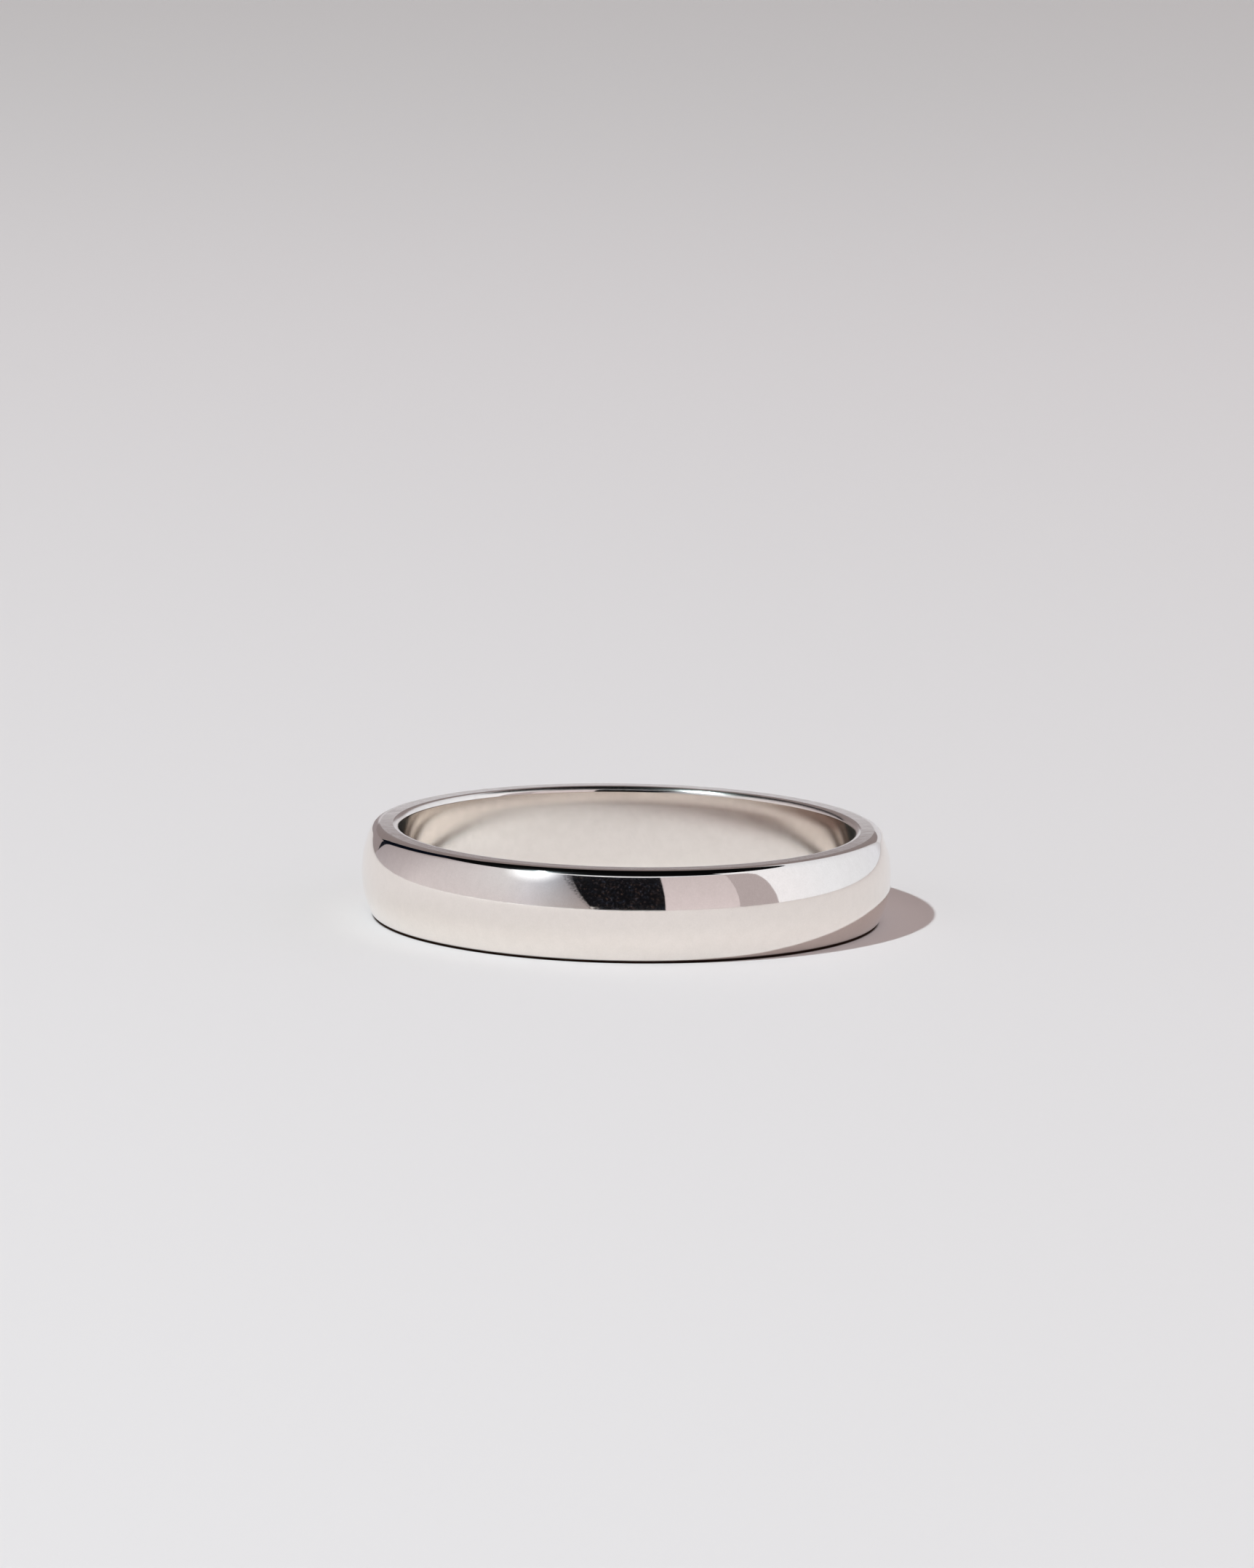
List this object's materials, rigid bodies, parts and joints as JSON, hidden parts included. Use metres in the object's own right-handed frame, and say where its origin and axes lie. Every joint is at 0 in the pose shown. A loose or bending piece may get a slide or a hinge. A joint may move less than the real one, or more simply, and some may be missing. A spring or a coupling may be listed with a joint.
{
  "type": "wedding band",
  "caption": "Plain polished white-metal finger ring with a domed outside, a straight bore and flat side faces.",
  "frame": {"origin": "middle of the lower side face, on the axis of the finger hole", "axes": "+Z along the axis of the finger hole, up from the surface that the band lies on; the band is round, so +X and +Y are any two directions across it"},
  "size_m": [0.02, 0.02, 0.0035],
  "materials": {
    "polished_white_gold": "mirror-polished precious metal, a slightly warm white"
  },
  "bodies": {
    "root": {"band": "polished_white_gold"}
  },
  "joints": []
}
